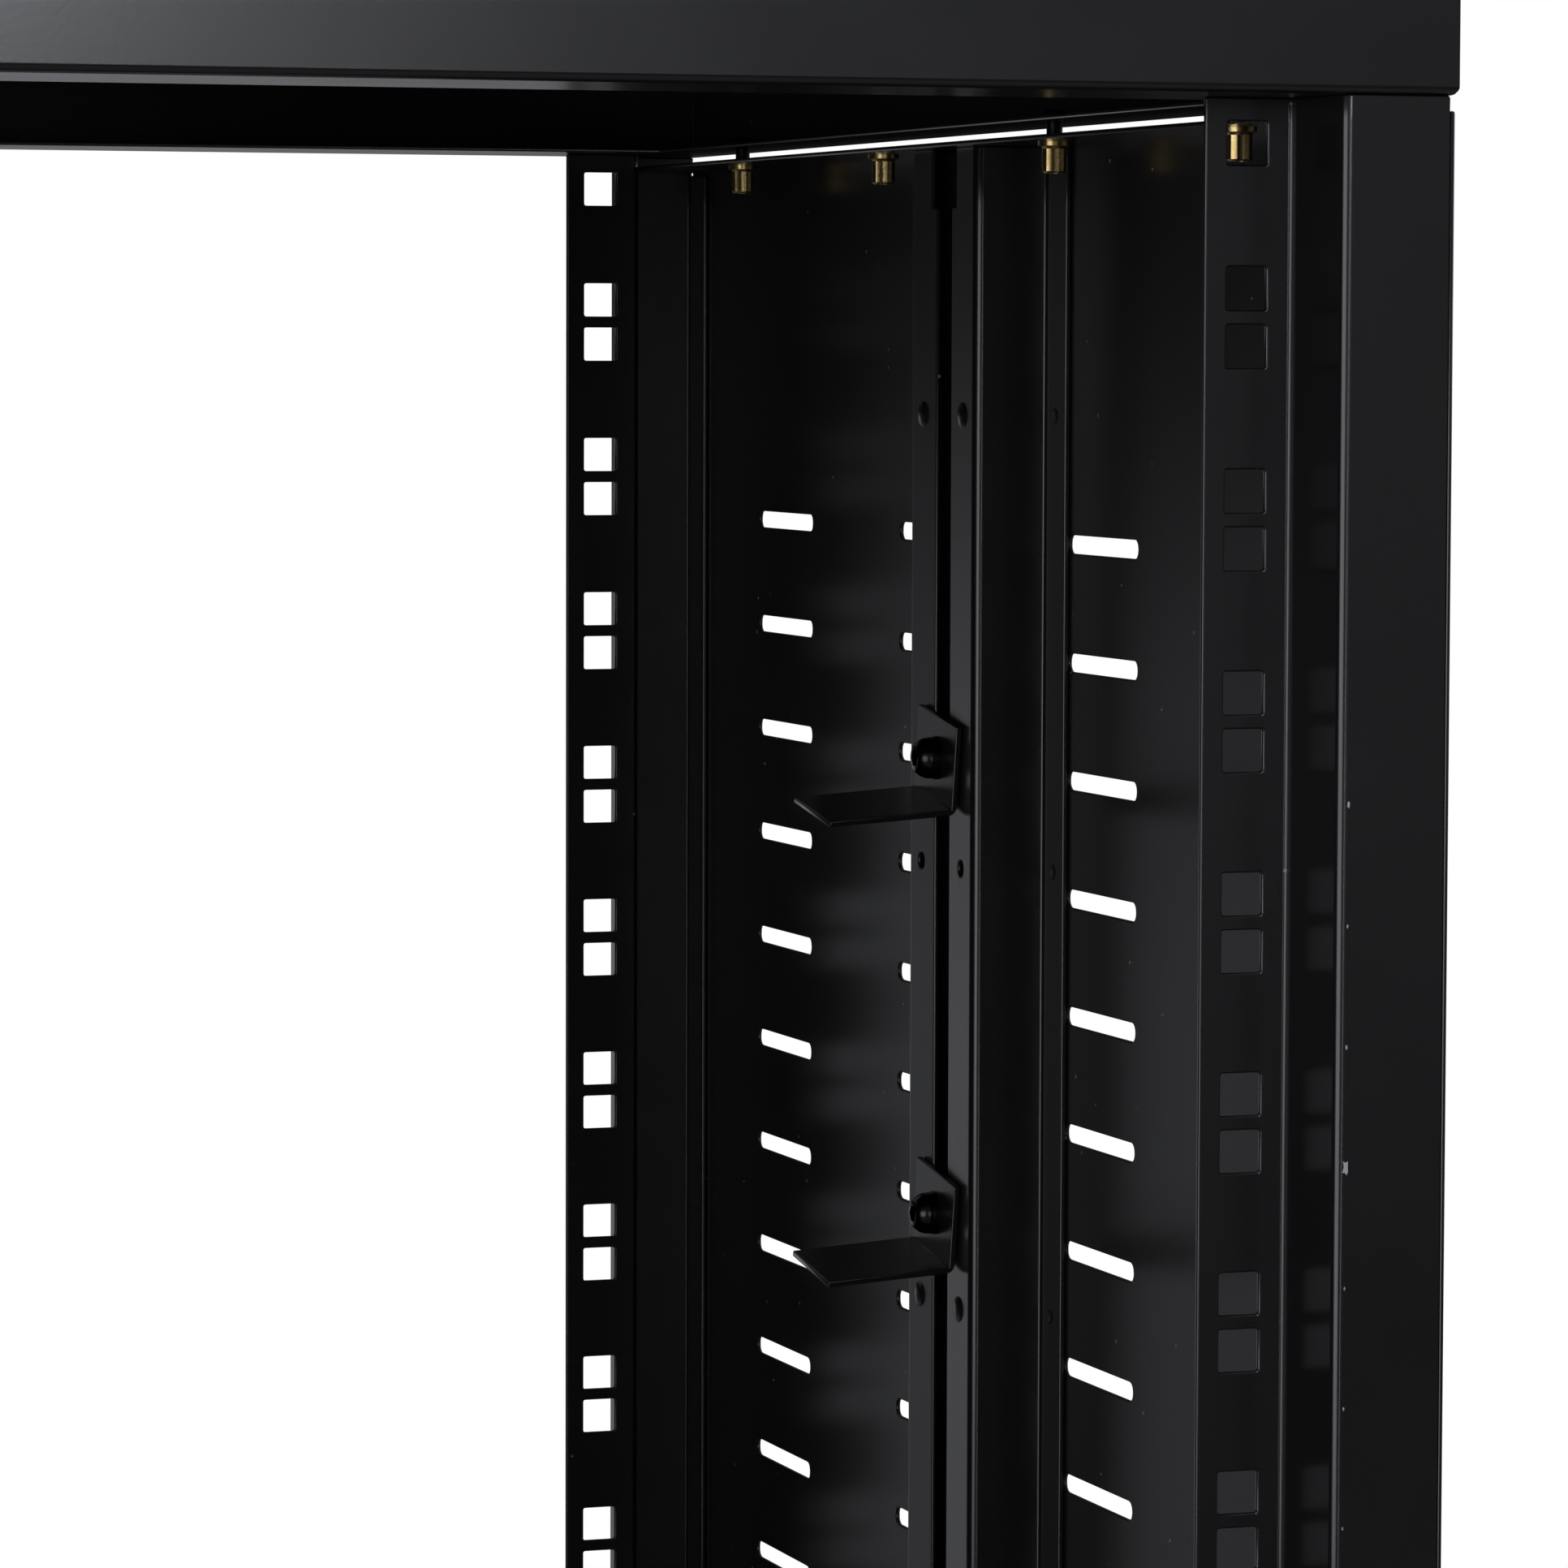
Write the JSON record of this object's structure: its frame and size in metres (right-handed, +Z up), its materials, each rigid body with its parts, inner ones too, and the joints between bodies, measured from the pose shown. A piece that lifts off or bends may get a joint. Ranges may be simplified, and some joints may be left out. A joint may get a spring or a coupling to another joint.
{
  "type": "rolling equipment rack",
  "caption": "Open-frame rolling equipment rack of folded sheet steel, with square-hole rails, slotted side walls, strut brackets, a top cap, a base tray and casters.",
  "frame": {"origin": "on the floor under the middle of the rack", "axes": "+Z up, +X to the right and +Y from the open front to the open back"},
  "size_m": [0.542, 0.5314, 0.9035],
  "materials": {
    "powder_coat": "satin",
    "zinc": "satin",
    "wheel_centre": "matte",
    "tread": "matte"
  },
  "bodies": {
    "root": {"top_cap": "powder_coat", "base_tray": "powder_coat", "right_side_wall": "powder_coat", "right_top_flange": "powder_coat", "right_bottom_flange": "powder_coat", "right_upper_bracket": "powder_coat", "right_lower_bracket": "powder_coat", "left_side_wall": "powder_coat", "left_top_flange": "powder_coat", "left_bottom_flange": "powder_coat", "left_upper_bracket": "powder_coat", "left_lower_bracket": "powder_coat", "right_front_rail": "powder_coat", "right_front_post": "powder_coat", "right_front_strut": "powder_coat", "right_front_caster_plate": "zinc", "right_front_caster_fork": "zinc", "right_front_caster_axle": "zinc", "right_front_caster_hub": "wheel_centre", "right_front_caster_tyre": "tread", "right_rear_rail": "powder_coat", "right_rear_post": "powder_coat", "right_rear_strut": "powder_coat", "right_rear_caster_plate": "zinc", "right_rear_caster_fork": "zinc", "right_rear_caster_axle": "zinc", "right_rear_caster_hub": "wheel_centre", "right_rear_caster_tyre": "tread", "left_front_rail": "powder_coat", "left_front_post": "powder_coat", "left_front_strut": "powder_coat", "left_front_caster_plate": "zinc", "left_front_caster_fork": "zinc", "left_front_caster_axle": "zinc", "left_front_caster_hub": "wheel_centre", "left_front_caster_tyre": "tread", "left_rear_rail": "powder_coat", "left_rear_post": "powder_coat", "left_rear_strut": "powder_coat", "left_rear_caster_plate": "zinc", "left_rear_caster_fork": "zinc", "left_rear_caster_axle": "zinc", "left_rear_caster_hub": "wheel_centre", "left_rear_caster_tyre": "tread"}
  },
  "joints": []
}
